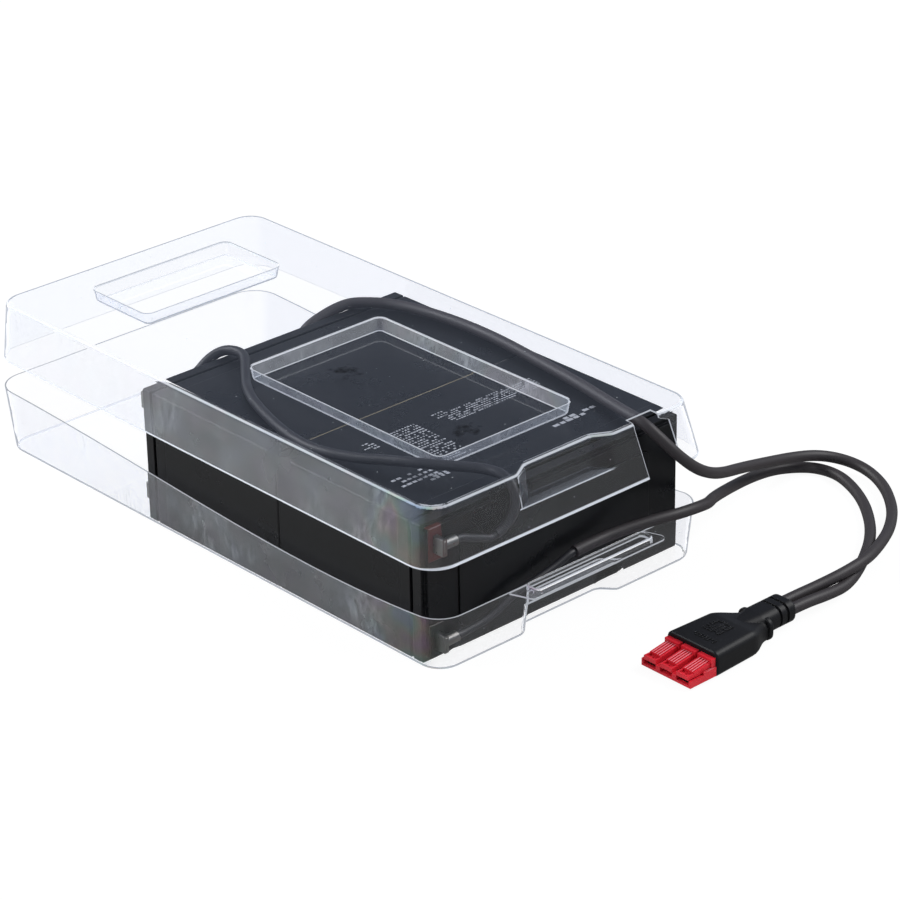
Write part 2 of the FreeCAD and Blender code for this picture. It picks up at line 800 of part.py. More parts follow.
def tower(y):
    """A tongue over one contact: a nose with a sunk seat, then a ridged ramp up to the roof."""
    ramp_start = plug_tip + nose_length
    ramp_end = grip_face - roof_length
    ramp_low = tower_top - ramp_rise
    body = slice_across([
        (plug_tip, rail_top), (grip_face, rail_top), (grip_face, tower_top), (ramp_end, tower_top),
        (ramp_start, ramp_low), (ramp_start, nose_top), (plug_tip, nose_top),
    ], y, tower_width)
    seat = across(y, tower_width - 2 * nose_wall, plug_tip + nose_wall, ramp_start,
                  nose_top - nose_sunk, tower_top)
    hole = across(y, nose_hole, ramp_start - 2 * nose_hole, ramp_start - nose_hole, rail_top, tower_top)
    spacing = tower_width / (ridge_count + 1)
    ridges = []
    for index in range(ridge_count):
        ridges.append(slice_across([
            (ramp_start, ramp_low - ridge_height), (ramp_end, tower_top - ridge_height),
            (ramp_end, tower_top + ridge_height), (ramp_start, ramp_low + ridge_height),
        ], y - tower_width / 2 + spacing * (index + 1), ridge_width))
    return body.cut(seat).cut(hole).fuse(ridges)


def plug_housing():
    left = plug_axis - housing_width / 2
    right = plug_axis + housing_width / 2
    raised_x = plug_tip + rail_raised_from_tip
    places = pole_places()
    pieces = [housing_shoulder()]
    for y in (left + rail_width / 2, right - rail_width / 2):
        pieces.append(across(y, rail_width, plug_tip, grip_face, plate_top, rail_top))
        pieces.append(across(y, rail_width, raised_x, grip_face, rail_top, rail_top + rail_raised))
    for index in range(pole_count - 1):
        y = (places[index] + places[index + 1]) / 2
        pieces.append(across(y, divider_width, plug_tip, plug_tip + divider_length, plate_top, rail_top))
        pieces.append(across(y, rail_width, raised_x, grip_face, plate_top, rail_top + rail_raised))
    for y in places:
        pieces.append(tower(y))
        pieces.append(across(y, roof_width, grip_face - roof_length, grip_face, plate_top, roof_top))
    body = box(plug_tip, grip_face, left, right, housing_lift, plate_top).fuse(pieces)
    return body.cut(plug_contacts()).removeSplitter()


def plug_contacts():
    """Flat blades in the two outer poles; the middle one stays empty."""
    places = pole_places()
    blades = []
    for y in (places[0], places[-1]):
        blades.append(across(y, contact_width, plug_tip + contact_setback, grip_face + housing_insert / 2,
                             plate_top, plate_top + contact_thickness))
    return Part.makeCompound(blades)


nodes = {
    "upper_cover": upper_cover(),
    "lower_tray": lower_tray(),
    "series_link": rounded_rod(link_route, link_diameter),
    "positive_lead": rounded_rod(positive_route, lead_diameter),
    "negative_lead": rounded_rod(negative_route, lead_diameter),
    "plug_overmould": plug_overmould(),
    "plug_housing": plug_housing(),
    "plug_contacts": plug_contacts(),
    "front_positive_core": core(positive_z, positive_core_route, link_route[::-1], False),
    "front_negative_core": core(negative_z, negative_core_route, negative_route, False),
    "rear_positive_core": core(positive_z, [], positive_route, True),
    "rear_negative_core": core(negative_z, [], link_route, True),
}
battery_pieces = {
    "battery_container": container(),
    "battery_lid": lid(),
    "battery_vent_cover": vent_cover(),
    "battery_valve_caps": valve_caps(),
    "battery_cell_stacks": cell_stacks(),
    "positive_seal": seal(positive_z),
    "negative_seal": seal(negative_z),
    "positive_tab": tab(positive_z),
    "negative_tab": tab(negative_z),
    "positive_receptacle": receptacle(positive_z),
    "negative_receptacle": receptacle(negative_z),
}
for name, shape in battery_pieces.items():
    nodes["front_" + name] = shape
    nodes["rear_" + name] = turn_over(shape)

os.makedirs("parts", exist_ok=True)
for name, shape in nodes.items():
    shape.exportStep("parts/" + name + ".step")
print(len(nodes), "nodes")
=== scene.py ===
import bmesh
import bpy
import math
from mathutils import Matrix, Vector


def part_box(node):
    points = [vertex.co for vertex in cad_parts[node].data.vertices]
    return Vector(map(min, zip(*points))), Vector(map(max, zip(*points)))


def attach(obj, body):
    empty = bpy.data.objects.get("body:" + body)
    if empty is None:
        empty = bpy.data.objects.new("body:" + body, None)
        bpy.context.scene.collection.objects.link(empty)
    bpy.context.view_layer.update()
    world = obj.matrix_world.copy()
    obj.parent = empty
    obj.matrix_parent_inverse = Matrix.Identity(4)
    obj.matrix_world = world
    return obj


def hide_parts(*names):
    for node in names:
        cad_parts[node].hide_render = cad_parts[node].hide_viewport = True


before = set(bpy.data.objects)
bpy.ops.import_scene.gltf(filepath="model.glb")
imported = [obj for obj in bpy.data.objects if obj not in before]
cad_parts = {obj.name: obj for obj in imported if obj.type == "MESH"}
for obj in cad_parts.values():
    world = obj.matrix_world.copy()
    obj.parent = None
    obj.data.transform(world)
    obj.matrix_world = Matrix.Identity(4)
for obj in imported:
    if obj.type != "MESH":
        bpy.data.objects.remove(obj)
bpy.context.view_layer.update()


# Lower tray.
# A shallow thermoformed tray of clear PVC film that carries the two batteries.
# It is pulled over a mould, so its walls lean out, its corners are soft and its rim is a plain cut edge.

scene = bpy.context.scene
mm = 0.001


def srgb(code):
    """A colour written as six hex digits, as linear red, green, blue and alpha."""
    values = [int(code[place:place + 2], 16) / 255 for place in (0, 2, 4)]
    return tuple(v / 12.92 if v <= 0.04045 else ((v + 0.055) / 1.055) ** 2.4 for v in values) + (1.0,)


def add_node(tree, kind, inputs, **settings):
    """Adds one node; an input is a value, or the output that is linked to it."""
    made = tree.nodes.new(kind)
    for name, value in settings.items():
        setattr(made, name, value)
    for key, value in inputs.items():
        if isinstance(value, bpy.types.NodeSocket):
            tree.links.new(value, made.inputs[key])
        else:
            made.inputs[key].default_value = value
    return made


def new_material(name):
    """An empty node material and its output node."""
    material = bpy.data.materials.new(name)
    material.use_nodes = True
    material.node_tree.nodes.clear()
    return material, add_node(material.node_tree, "ShaderNodeOutputMaterial", {})


weld_reach = 0.002 * mm
moulded_crease = math.radians(32)


def dressed(node_name, material, crease=moulded_crease):
    """A welded copy of a solid, shaded evenly over its rounds, that stands in for that solid."""
    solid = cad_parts[node_name].data
    mesh = bpy.data.meshes.new(node_name + "_skin")
    mesh.from_pydata([v.co[:] for v in solid.vertices], [], [p.vertices[:] for p in solid.polygons])
    weld = bmesh.new()
    weld.from_mesh(mesh)
    bmesh.ops.remove_doubles(weld, verts=weld.verts, dist=weld_reach)
    weld.to_mesh(mesh)
    weld.free()
    mesh.materials.append(material)
    mesh.shade_smooth()
    mesh.set_sharp_from_angle(angle=crease)
    piece = bpy.data.objects.new(node_name + "_skin", mesh)
    scene.collection.objects.link(piece)
    evened = piece.modifiers.new("evened", "WEIGHTED_NORMAL")
    evened.keep_sharp = True
    finished = piece.evaluated_get(bpy.context.evaluated_depsgraph_get())
    piece.data = bpy.data.meshes.new_from_object(finished)
    piece.modifiers.remove(evened)
    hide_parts(node_name)
    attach(piece, "root")
    return piece


film_ior = 1.53
rim_line = 0.8 * mm
front_rim_line = 1.3 * mm
deep_pocket_half = 60 * mm
deep_pocket_from = -112 * mm
deep_pocket_to = 80 * mm
pocket_edge = 1 * mm
shelf_reach = 6 * mm
smudge_core = 11 * mm
smudge_edge = 17 * mm
smudge_raggedness = 22 * mm


def clear_film(name, tint, milk, painted_glow_strength, rim_z, shelf_z, smudges):
    """Clear rigid PVC film: mirrors outside, hazy in its drawn walls, with painted highlights on its rounds,
    recess shelf and cut rim, and a painted glow at its edges from within.
    """
    material, output = new_material(name)
    tree = material.node_tree
    place = add_node(tree, "ShaderNodeTexCoord", {}).outputs["Object"]
    spot_on = add_node(tree, "ShaderNodeSeparateXYZ", {"Vector": place})
    face = add_node(tree, "ShaderNodeNewGeometry", {})
    lean = add_node(tree, "ShaderNodeSeparateXYZ", {"Vector": face.outputs["Normal"]})
    upright = add_node(tree, "ShaderNodeMath", {0: lean.outputs["Z"]}, operation="ABSOLUTE").outputs[0]

    # The outer face mirrors for both faces of the film.
    once = add_node(tree, "ShaderNodeFresnel", {"IOR": film_ior}).outputs[0]
    twice = add_node(tree, "ShaderNodeMath", {0: once, 1: 2.0}, operation="MULTIPLY").outputs[0]
    rest = add_node(tree, "ShaderNodeMath", {0: once, 1: 1.0}, operation="ADD").outputs[0]
    both = add_node(tree, "ShaderNodeMath", {0: twice, 1: rest}, operation="DIVIDE").outputs[0]
    mirror = add_node(tree, "ShaderNodeBsdfGlossy", {"Color": both, "Roughness": 0.02})

    # Steep walls are drawn hazy, the front ones least, and only on the side that looks away from the middle.
    walls = add_node(tree, "ShaderNodeMapRange", {
        "Value": upright, "From Min": 0.3, "From Max": 0.8, "To Min": 1.0, "To Max": 0.0,
    }).outputs["Result"]
    fore = add_node(tree, "ShaderNodeMapRange", {
        "Value": lean.outputs["Y"], "From Min": -0.6, "From Max": -0.25, "To Min": 0.14, "To Max": 1.0,
    }).outputs["Result"]
    drawn = add_node(tree, "ShaderNodeMath", {0: walls, 1: fore}, operation="MULTIPLY").outputs[0]
    level_place = add_node(tree, "ShaderNodeVectorMath", {
        0: place, 1: (1.0, 1.0, 0.0),
    }, operation="MULTIPLY").outputs[0]
    outward = add_node(tree, "ShaderNodeVectorMath", {
        0: face.outputs["Normal"], 1: level_place,
    }, operation="DOT_PRODUCT").outputs["Value"]
    outside = add_node(tree, "ShaderNodeMapRange", {
        "Value": outward, "From Min": 0.0, "From Max": 10 * mm, "To Min": 0.0, "To Max": 1.0,
    }).outputs["Result"]
    around = add_node(tree, "ShaderNodeMath", {0: drawn, 1: outside}, operation="MULTIPLY").outputs[0]

    # The walls of the deep pocket over the batteries show it from both sides.
    off_middle = add_node(tree, "ShaderNodeMath", {0: spot_on.outputs["X"]}, operation="ABSOLUTE").outputs[0]
    between = add_node(tree, "ShaderNodeMapRange", {
        "Value": off_middle, "To Min": 2.1, "To Max": 0.0,
        "From Min": deep_pocket_half, "From Max": deep_pocket_half + pocket_edge,
    }).outputs["Result"]
    behind_front = add_node(tree, "ShaderNodeMapRange", {
        "Value": spot_on.outputs["Y"], "To Min": 0.0, "To Max": 1.0,
        "From Min": deep_pocket_from, "From Max": deep_pocket_from + pocket_edge,
    }).outputs["Result"]
    before_rear = add_node(tree, "ShaderNodeMapRange", {
        "Value": spot_on.outputs["Y"], "To Min": 1.0, "To Max": 0.0,
        "From Min": deep_pocket_to, "From Max": deep_pocket_to + pocket_edge,
    }).outputs["Result"]
    sunk = add_node(tree, "ShaderNodeMath", {
        0: behind_front, 1: before_rear,
    }, operation="MULTIPLY").outputs[0]
    inboard = add_node(tree, "ShaderNodeMath", {0: between, 1: sunk}, operation="MULTIPLY").outputs[0]
    in_pocket = add_node(tree, "ShaderNodeMath", {0: walls, 1: inboard}, operation="MULTIPLY").outputs[0]
    facing = add_node(tree, "ShaderNodeMath", {0: around, 1: in_pocket}, operation="MAXIMUM").outputs[0]

    # The haze is cloudy, with rubbed patches of fine scuffs that are longer up and down.
    cloud = add_node(tree, "ShaderNodeTexNoise", {"Vector": place, "Scale": 1 / (14 * mm), "Detail": 6.0})
    veil = add_node(tree, "ShaderNodeMapRange", {
        "Value": cloud.outputs["Fac"], "From Min": 0.3, "From Max": 0.75,
        "To Min": 0.105 * milk, "To Max": 0.17 * milk,
    }).outputs["Result"]
    streaked = add_node(tree, "ShaderNodeVectorMath", {
        0: place, 1: (1.0, 1.0, 0.35),
    }, operation="MULTIPLY").outputs[0]
    grit = add_node(tree, "ShaderNodeTexNoise", {
        "Vector": streaked, "Scale": 1 / (2.4 * mm), "Detail": 4.0, "Roughness": 0.6,
    })
    spots = add_node(tree, "ShaderNodeMapRange", {
        "Value": grit.outputs["Fac"], "From Min": 0.42, "From Max": 0.75, "To Min": 0.0, "To Max": 0.2,
    }).outputs["Result"]
    wear_and_highlight_mask = add_node(tree, "ShaderNodeTexNoise", {"Vector": place, "Scale": 1 / (34 * mm), "Detail": 2.0})
    zones = add_node(tree, "ShaderNodeMapRange", {
        "Value": wear_and_highlight_mask.outputs["Fac"], "From Min": 0.5, "From Max": 0.68, "To Min": 0.0, "To Max": 1.0,
    }).outputs["Result"]
    scuffs = add_node(tree, "ShaderNodeMath", {0: spots, 1: zones}, operation="MULTIPLY").outputs[0]
    worn = add_node(tree, "ShaderNodeMath", {0: veil, 1: scuffs}, operation="ADD").outputs[0]
    clouded = add_node(tree, "ShaderNodeMath", {0: worn, 1: facing}, operation="MULTIPLY").outputs[0]

    # Specks of dust lie all over it.
    grains = add_node(tree, "ShaderNodeTexVoronoi", {"Vector": place, "Scale": 1 / (7 * mm)})
    specks = add_node(tree, "ShaderNodeMapRange", {
        "Value": grains.outputs["Distance"], "From Min": 0.025, "From Max": 0.045,
        "To Min": 0.55, "To Max": 0.0,
    }).outputs["Result"]
    dusty = add_node(tree, "ShaderNodeMath", {0: clouded, 1: specks}, operation="MAXIMUM").outputs[0]

    # Painted highlights: the rounds between walls and level parts get a pale band in place of the lamps'
    # reflections, and the shelf of the recess is painted a little lighter where it lies in shade.
    leaning = add_node(tree, "ShaderNodeMapRange", {
        "Value": upright, "From Min": 0.45, "From Max": 0.62, "To Min": 0.0, "To Max": 0.65,
    }).outputs["Result"]
    not_flat = add_node(tree, "ShaderNodeMapRange", {
        "Value": upright, "From Min": 0.8, "From Max": 0.93, "To Min": 1.0, "To Max": 0.0,
    }).outputs["Result"]
    painted_round_highlights = add_node(tree, "ShaderNodeMath", {0: leaning, 1: not_flat}, operation="MULTIPLY").outputs[0]
    level = add_node(tree, "ShaderNodeMapRange", {
        "Value": upright, "From Min": 0.8, "From Max": 0.93, "To Min": 0.0, "To Max": 0.1,
    }).outputs["Result"]
    at_shelf = add_node(tree, "ShaderNodeMath", {
        0: spot_on.outputs["Z"], 1: shelf_z, 2: shelf_reach,
    }, operation="COMPARE").outputs[0]
    painted_shelf_light = add_node(tree, "ShaderNodeMath", {0: level, 1: at_shelf}, operation="MULTIPLY").outputs[0]
    painted_highlights = add_node(tree, "ShaderNodeMath", {0: painted_shelf_light, 1: painted_round_highlights}, operation="MAXIMUM").outputs[0]
    haze_dust_and_painted_highlights = add_node(tree, "ShaderNodeMath", {0: dusty, 1: painted_highlights}, operation="MAXIMUM").outputs[0]

    # Painted highlight: the cut edge of a level rim gets a pale band, broadest at the front, for the bright
    # edge.
    edge_width = add_node(tree, "ShaderNodeMapRange", {
        "Value": lean.outputs["Y"], "From Min": -0.9, "From Max": -0.4,
        "To Min": front_rim_line, "To Max": rim_line,
    }).outputs["Result"]
    above = add_node(tree, "ShaderNodeMath", {
        0: spot_on.outputs["Z"], 1: rim_z,
    }, operation="SUBTRACT").outputs[0]
    from_edge = add_node(tree, "ShaderNodeMath", {0: above, 1: edge_width}, operation="DIVIDE").outputs[0]
    near_edge = add_node(tree, "ShaderNodeMapRange", {
        "Value": from_edge, "From Min": 0.8, "From Max": 1.2, "To Min": 0.85, "To Max": 0.0,
    }).outputs["Result"]
    painted_rim_highlight = add_node(tree, "ShaderNodeMath", {0: near_edge, 1: outside}, operation="MULTIPLY").outputs[0]
    haze_and_painted_light = add_node(tree, "ShaderNodeMath", {0: haze_dust_and_painted_highlights, 1: painted_rim_highlight}, operation="MAXIMUM").outputs[0]

    # Stress colours run through the haze of the left wall, most of all at its front corner.
    bands = add_node(tree, "ShaderNodeTexNoise", {"Vector": place, "Scale": 1 / (16 * mm), "Detail": 1.0})
    stress = add_node(tree, "ShaderNodeValToRGB", {"Fac": bands.outputs["Fac"]})
    stress.color_ramp.elements[0].position = 0.34
    stress.color_ramp.elements[0].color = srgb("d8a2cc")
    stress.color_ramp.elements[1].position = 0.66
    stress.color_ramp.elements[1].color = srgb("9fbfe4")
    for position, code in ((0.44, "e2c3a4"), (0.55, "9fdcb6")):
        stop = stress.color_ramp.elements.new(position)
        stop.color = srgb(code)
    drawn_out = add_node(tree, "ShaderNodeMapRange", {
        "Value": spot_on.outputs["Y"], "From Min": -138 * mm, "From Max": -100 * mm,
        "To Min": 0.85, "To Max": 0.1,
    }).outputs["Result"]
    leftward = add_node(tree, "ShaderNodeMapRange", {
        "Value": lean.outputs["X"], "From Min": -0.8, "From Max": -0.2, "To Min": 1.0, "To Max": 0.0,
    }).outputs["Result"]
    streaming = add_node(tree, "ShaderNodeMath", {0: drawn_out, 1: leftward}, operation="MULTIPLY").outputs[0]
    tinged = add_node(tree, "ShaderNodeMath", {
        0: streaming, 1: painted_rim_highlight,
    }, operation="SUBTRACT", use_clamp=True).outputs[0]
    bloom = add_node(tree, "ShaderNodeMix", {
        0: tinged, 6: srgb("ebf0f8"), 7: stress.outputs["Color"],
    }, data_type="RGBA").outputs[2]
    milky = add_node(tree, "ShaderNodeBsdfDiffuse", {"Color": bloom})

    # What is not hazy is clear, a little greyer in the walls, and carries a few dark smudges.
    depth = add_node(tree, "ShaderNodeMix", {
        0: drawn, 6: srgb(tint), 7: srgb("f3f4f8"),
    }, data_type="RGBA").outputs[2]
    bent = add_node(tree, "ShaderNodeBsdfRefraction", {"Color": depth, "Roughness": 0.0, "IOR": film_ior})
    clear = add_node(tree, "ShaderNodeAddShader", {0: bent.outputs[0], 1: mirror.outputs[0]})
    outer = add_node(tree, "ShaderNodeMixShader", {0: haze_and_painted_light, 1: clear.outputs[0], 2: milky.outputs[0]})
    soil = add_node(tree, "ShaderNodeTexNoise", {
        "Vector": place, "Scale": 1 / (5 * mm), "Detail": 5.0,
    }).outputs["Fac"]
    dirt = add_node(tree, "ShaderNodeBsdfDiffuse", {"Color": srgb("1b1b1d")})
    for spot in smudges:
        away = add_node(tree, "ShaderNodeVectorMath", {
            0: place, 1: spot,
        }, operation="DISTANCE").outputs["Value"]
        ragged = add_node(tree, "ShaderNodeMath", {
            0: soil, 1: smudge_raggedness, 2: away,
        }, operation="MULTIPLY_ADD").outputs[0]
        dark = add_node(tree, "ShaderNodeMapRange", {
            "Value": ragged, "From Min": smudge_core, "From Max": smudge_edge, "To Min": 0.8, "To Max": 0.0,
        }).outputs["Result"]
        outer = add_node(tree, "ShaderNodeMixShader", {0: dark, 1: outer.outputs[0], 2: dirt.outputs[0]})

    # From within, light passes out again; where it would be turned back at the edges, a pale emission is
    # painted on as a glow.
    inner = add_node(tree, "ShaderNodeBsdfRefraction", {
        "Color": srgb("fefefe"), "Roughness": 0.0, "IOR": film_ior,
    })
    painted_glow = add_node(tree, "ShaderNodeEmission", {"Color": srgb("e4e9f2"), "Strength": painted_glow_strength})
    turned_back = add_node(tree, "ShaderNodeMath", {0: once, 1: 0.95}, operation="GREATER_THAN")
    inside = add_node(tree, "ShaderNodeMixShader", {
        0: turned_back.outputs[0], 1: inner.outputs[0], 2: painted_glow.outputs[0],
    })
    film = add_node(tree, "ShaderNodeMixShader", {
        0: face.outputs["Backfacing"], 1: outer.outputs[0], 2: inside.outputs[0],
    })

    # Lamplight and bounced light go straight through, so the film throws no dark shadow.
    through = add_node(tree, "ShaderNodeBsdfTransparent", {"Color": srgb("f9fafd")})
    path = add_node(tree, "ShaderNodeLightPath", {})
    lit = add_node(tree, "ShaderNodeMath", {
        0: path.outputs["Is Shadow Ray"], 1: path.outputs["Is Diffuse Ray"],
    }, operation="MAXIMUM")
    sheet = add_node(tree, "ShaderNodeMixShader", {
        0: lit.outputs[0], 1: film.outputs[0], 2: through.outputs[0],
    })
    tree.links.new(sheet.outputs[0], output.inputs["Surface"])
    return material


# The tray's rim is cut in a wave and gets no level painted rim highlight, so that band's height is set far
# below it.
no_rim = -1.0
tray_shelf = 15 * mm
shell_crease = math.radians(50)
tray_film = clear_film("clear_pvc_film_tray", "fefefe", 0.85, 0.5, no_rim, tray_shelf, [])
tray = dressed("lower_tray", tray_film, shell_crease)


# Battery blocks.
# Two sealed lead-acid blocks lie on their sides, base to base, in black ABS cases with glued lids.
# The moulded faces are satin, with a fine spark grain and slightly rounded edges.

def moulded_plastic(name, colour, roughness, grain_mm, grain_depth, specular=0.5, edge_mm=0.0):
    """Moulded plastic with a fine grain: the grain breaks the gloss, and handling dulls it in patches."""
    material, output = new_material(name)
    tree = material.node_tree
    place = add_node(tree, "ShaderNodeTexCoord", {}).outputs["Object"]
    grain = add_node(tree, "ShaderNodeTexNoise", {
        "Vector": place, "Scale": 1 / (grain_mm * mm), "Detail": 3.0,
    })
    patches = add_node(tree, "ShaderNodeTexNoise", {"Vector": place, "Scale": 1 / (24 * mm), "Detail": 5.0})
    gloss = add_node(tree, "ShaderNodeMapRange", {
        "Value": patches.outputs["Fac"], "From Min": 0.3, "From Max": 0.7,
        "To Min": roughness - 0.06, "To Max": roughness + 0.08,
    })
    relief = add_node(tree, "ShaderNodeBump", {
        "Height": grain.outputs["Fac"], "Strength": 0.1, "Distance": grain_depth * mm,
    })
    if edge_mm:
        edges = add_node(tree, "ShaderNodeBevel", {"Radius": edge_mm * mm}, samples=8)
        tree.links.new(edges.outputs["Normal"], relief.inputs["Normal"])
    plastic = add_node(tree, "ShaderNodeBsdfPrincipled", {
        "Base Color": srgb(colour), "Roughness": gloss.outputs["Result"], "Specular IOR Level": specular,
        "Normal": relief.outputs["Normal"],
    })
    tree.links.new(plastic.outputs[0], output.inputs["Surface"])
    return material


# Black ABS from a spark-eroded mould, drawn coarser than it is so that it shows: satin, with soft highlights.
black_abs = moulded_plastic("black_abs_spark_grain", "121315", 0.3, 0.5, 0.003, 0.4, 0.5)

# Matt rubber caps and dull grey plates, which the closed cases hide.
valve_rubber = moulded_plastic("black_valve_rubber", "151515", 0.6, 0.6, 0.02)
plate_lead = moulded_plastic("grey_lead_plates", "55585b", 0.6, 0.8, 0.05)
battery_finishes = {
    "container": (black_abs, "battery_case"),
    "lid": (black_abs, "battery_case"),
    "vent_cover": (black_abs, "battery_case"),
    "valve_caps": (valve_rubber, "valve_rubber"),
    "cell_stacks": (plate_lead, "plate_lead"),
}
for end in ("front", "rear"):
    for part, (material, slot) in battery_finishes.items():
        dressed(f"{end}_battery_{part}", material)


# Print and joint.
# Rows of plain grey dashes are pad-printed on the front block's upper side.
# A thin amber bead of hot melt holds the two blocks together along their joint.

def dash_rows():
    """Node group: level rows of plain dashes of uneven length, with some left out."""
    group = bpy.data.node_groups.new("dash_rows", "GeometryNodeTree")
    wanted = {
        "Across": "NodeSocketInt", "Rows": "NodeSocketInt",
        "Pitch": "NodeSocketFloat", "Row Pitch": "NodeSocketFloat",
        "Height": "NodeSocketFloat", "Thickness": "NodeSocketFloat", "Shortest": "NodeSocketFloat",
        "Seed": "NodeSocketInt", "Place": "NodeSocketVector", "Material": "NodeSocketMaterial",
    }
    for name, kind in wanted.items():
        group.interface.new_socket(name=name, in_out="INPUT", socket_type=kind)
    group.interface.new_socket(name="Geometry", in_out="OUTPUT", socket_type="NodeSocketGeometry")
    given = add_node(group, "NodeGroupInput", {}).outputs

    def times(count, pitch):
        gaps = add_node(group, "ShaderNodeMath", {0: count, 1: 1.0}, operation="SUBTRACT").outputs[0]
        return add_node(group, "ShaderNodeMath", {0: gaps, 1: pitch}, operation="MULTIPLY").outputs[0]

    grid = add_node(group, "GeometryNodeMeshGrid", {
        "Size X": times(given["Across"], given["Pitch"]), "Size Y": times(given["Rows"], given["Row Pitch"]),
        "Vertices X": given["Across"], "Vertices Y": given["Rows"],
    })
    size = add_node(group, "ShaderNodeCombineXYZ", {
        "X": given["Pitch"], "Y": given["Height"], "Z": given["Thickness"],
    })
    dash = add_node(group, "GeometryNodeMeshCube", {"Size": size.outputs[0]})
    length = add_node(group, "FunctionNodeRandomValue", {
        2: given["Shortest"], 3: 0.92, "Seed": given["Seed"],
    }, data_type="FLOAT")
    kept = add_node(group, "FunctionNodeRandomValue", {6: 0.82, "Seed": given["Seed"]}, data_type="BOOLEAN")
    scale = add_node(group, "ShaderNodeCombineXYZ", {"X": length.outputs[1], "Y": 1.0, "Z": 1.0})
    dashes = add_node(group, "GeometryNodeInstanceOnPoints", {
        "Points": grid.outputs["Mesh"], "Selection": kept.outputs[3], "Instance": dash.outputs["Mesh"],
        "Scale": scale.outputs[0],
    })
    whole = add_node(group, "GeometryNodeRealizeInstances", {"Geometry": dashes.outputs["Instances"]})
    laid_out = add_node(group, "GeometryNodeTransform", {
        "Geometry": whole.outputs["Geometry"], "Translation": given["Place"],
    })
    painted = add_node(group, "GeometryNodeSetMaterial", {
        "Geometry": laid_out.outputs["Geometry"], "Material": given["Material"],
    })
    add_node(group, "NodeGroupOutput", {"Geometry": painted.outputs["Geometry"]})
    return group


dashes_group = dash_rows()


def lay_dashes(name, **values):
    """A plain mesh of dashes made by the node group with these inputs."""
    piece = bpy.data.objects.new(name, bpy.data.meshes.new(name))
    scene.collection.objects.link(piece)
    maker = piece.modifiers.new("dashes", "NODES")
    maker.node_group = dashes_group
    for socket in dashes_group.interface.items_tree:
        if socket.in_out == "INPUT":
            maker[socket.identifier] = values[socket.name.replace(" ", "_").lower()]
    finished = piece.evaluated_get(bpy.context.evaluated_depsgraph_get())
    piece.data = bpy.data.meshes.new_from_object(finished)
    piece.modifiers.remove(maker)
    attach(piece, "root")
    return piece


def plain_finish(name, colour, roughness):
    """One even finish for paint or glue."""
    material, output = new_material(name)
    finish = add_node(material.node_tree, "ShaderNodeBsdfPrincipled", {
        "Base Color": srgb(colour), "Roughness": roughness, "Specular IOR Level": 0.2,
    })
    material.node_tree.links.new(finish.outputs[0], output.inputs["Surface"])
    return material


# Thin grey ink with a dull sheen.
print_ink = plain_finish("grey_pad_print", "9b9da1", 0.5)
block_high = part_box("front_battery_container")[1]
print_thickness = 0.02 * mm

# Middle across and along, dashes in a row, rows, pitch, row pitch and height of each block of dashes, in mm.
print_blocks = {
    "fine_print_right": (27, -68.5, 36, 6, 1.5, 1.7, 0.8),
    "fine_print_middle": (-21, -81.0, 9, 19, 1.6, 2.0, 0.9),
    "rating_print": (-48, -101.0, 7, 3, 3.0, 3.4, 1.5),
    "type_print": (-37, -107.2, 6, 2, 2.8, 1.8, 1.6),
    "name_print": (41, -106.0, 7, 2, 4.0, 2.3, 1.9),
    "mark_print_left": (-43, -66.0, 4, 4, 1.9, 1.9, 0.9),
    "mark_print_middle": (0, -64.0, 4, 3, 1.7, 1.9, 0.8),
}
for index, (name, (x, y, across, rows, pitch, row_pitch, height)) in enumerate(print_blocks.items()):
    lay_dashes(
        name, across=across, rows=rows, pitch=pitch * mm, row_pitch=row_pitch * mm, height=height * mm,
        thickness=print_thickness, shortest=min(0.65, height / 3), seed=index + 3,
        place=(x * mm, y * mm, block_high.z + print_thickness / 2), material=print_ink,
    )

# Set hot melt: a dull amber line in the gap.
hot_melt = plain_finish("amber_hot_melt", "8f8468", 0.4)
bead_half_width = 0.13 * mm
bead_drop = 0.25 * mm
bead_left = -56 * mm
bead_right = 44 * mm
bead_front = block_high.y - bead_half_width
bead_rear = block_high.y + bead_half_width
bead_top = block_high.z - bead_drop
bead_root = bead_top - 3 * bead_drop
bead_mesh = bpy.data.meshes.new("hot_melt_bead")
bead_mesh.from_pydata([
    (bead_left, bead_front, bead_top), (bead_right, bead_front, bead_top),
    (bead_right, bead_rear, bead_top), (bead_left, bead_rear, bead_top),
    (bead_left, block_high.y, bead_root), (bead_right, block_high.y, bead_root),
], [], [(0, 1, 2, 3), (1, 0, 4, 5), (3, 2, 5, 4), (0, 3, 4), (2, 1, 5)])
bead_mesh.materials.append(hot_melt)
bead = bpy.data.objects.new("hot_melt_bead", bead_mesh)
scene.collection.objects.link(bead)
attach(bead, "root")


# Terminals.
# Tinned brass tabs stand in red and black resin seals, and each carries a pressed flag receptacle.
# The resin is glossy and the tin is soft, slightly dull silver.

# Cast epoxy: dark and glossy, red at the positive pole and black at the negative one.
red_resin = moulded_plastic("red_epoxy_seal", "4c0d10", 0.3, 1.2, 0.02)
black_resin = moulded_plastic("black_epoxy_seal", "161617", 0.3, 1.2, 0.02)


def bare_metal(name, colour, roughness):
    """Pressed sheet metal with faint rolling marks, so the shine is a little uneven."""
    material, output = new_material(name)
    tree = material.node_tree
    place = add_node(tree, "ShaderNodeTexCoord", {}).outputs["Object"]
    marks = add_node(tree, "ShaderNodeTexNoise", {
        "Vector": place, "Scale": 1 / (1.5 * mm), "Detail": 4.0,
    })
    shine = add_node(tree, "ShaderNodeMapRange", {
        "Value": marks.outputs["Fac"], "To Min": roughness - 0.1, "To Max": roughness + 0.12,
    })
    metal = add_node(tree, "ShaderNodeBsdfPrincipled", {
        "Base Color": srgb(colour), "Metallic": 1.0, "Roughness": shine.outputs["Result"],
    })
    tree.links.new(metal.outputs[0], output.inputs["Surface"])
    return material


